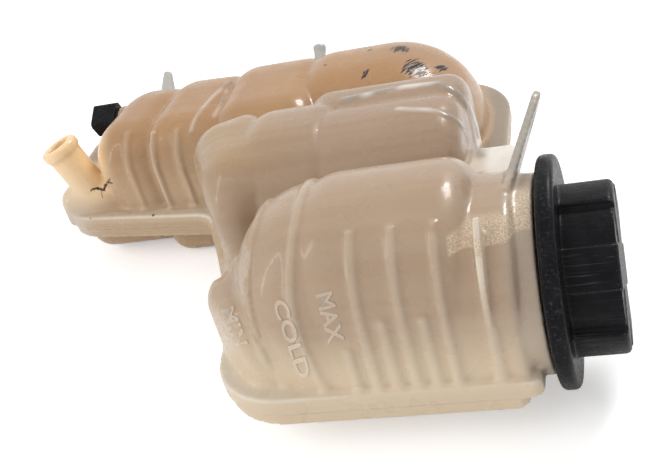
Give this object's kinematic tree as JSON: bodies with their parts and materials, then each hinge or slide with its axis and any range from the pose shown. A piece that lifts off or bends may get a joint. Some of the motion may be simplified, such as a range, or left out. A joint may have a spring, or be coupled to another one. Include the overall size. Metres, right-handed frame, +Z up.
{
  "type": "coolant expansion tank",
  "caption": "Welded lobed plastic coolant expansion tank with level ribs, hose stub, level sensor, mounting ear and a screw-on pressure cap with sprung valves.",
  "frame": {"origin": "bottom centre of the bounding box, under the flat pans that the tank lies on", "axes": "the tank lies as pictured: +Z is up, square to the weld flange; +X runs along the filler neck towards the cap, which points about up once fitted; +Y runs from the front lobe to the rear lobe"},
  "size_m": [0.241, 0.2074, 0.0875],
  "materials": {
    "tank_plastic": "aged translucent moulded plastic",
    "black_plastic": "moulded black",
    "valve_plastic": "moulded",
    "seal_rubber": "matte",
    "spring_steel": "drawn wire",
    "valve_brass": "turned",
    "terminal_tin": "plated",
    "float_foam": "foamed",
    "magnet_ceramic": "sintered"
  },
  "bodies": {
    "tank": {"upper_shell": "tank_plastic", "lower_shell": "tank_plastic", "sensor_housing": "black_plastic", "sensor_terminals": "terminal_tin", "sensor_seal": "seal_rubber"},
    "valve_insert": {"cap_insert": "valve_plastic", "cap_seal_ring": "seal_rubber", "spring_retainer": "valve_plastic", "pressure_spring": "spring_steel"},
    "cap": {"cap_grip": "black_plastic"},
    "pressure_valve": {"pressure_plate": "valve_brass", "pressure_seal": "seal_rubber", "vacuum_spring": "spring_steel"},
    "vacuum_valve": {"vacuum_valve": "valve_brass"},
    "float": {"level_float": "float_foam", "float_magnet": "magnet_ceramic"}
  },
  "joints": [
    {"name": "cap_lift", "type": "slide", "parent": "tank", "child": "valve_insert", "axis": [1, 0, 0], "range_m": [0, 0.009]},
    {"name": "cap_turn", "type": "hinge", "parent": "valve_insert", "child": "cap", "pos_m": [0.0989, -0.0677, 0.042], "axis": [1, 0, 0], "range_deg": [0, 540]},
    {"name": "pressure_relief", "type": "slide", "parent": "valve_insert", "child": "pressure_valve", "axis": [1, 0, 0], "range_m": [0, 0.0025], "stiffness_N_per_m": 3000, "springref_m": -0.0045, "deforming": ["pressure_spring"]},
    {"name": "vacuum_relief", "type": "slide", "parent": "pressure_valve", "child": "vacuum_valve", "axis": [-1, 0, 0], "range_m": [0, 0.0012], "stiffness_N_per_m": 150, "springref_m": -0.002, "deforming": ["vacuum_spring"]},
    {"name": "float_rise", "type": "slide", "parent": "tank", "child": "float", "axis": [1, 0, 0], "range_m": [0, 0.016]}
  ],
  "couplings": [
    {"joint": "cap_lift", "follows": "cap_turn", "m_per_rad": 0.00095493}
  ]
}
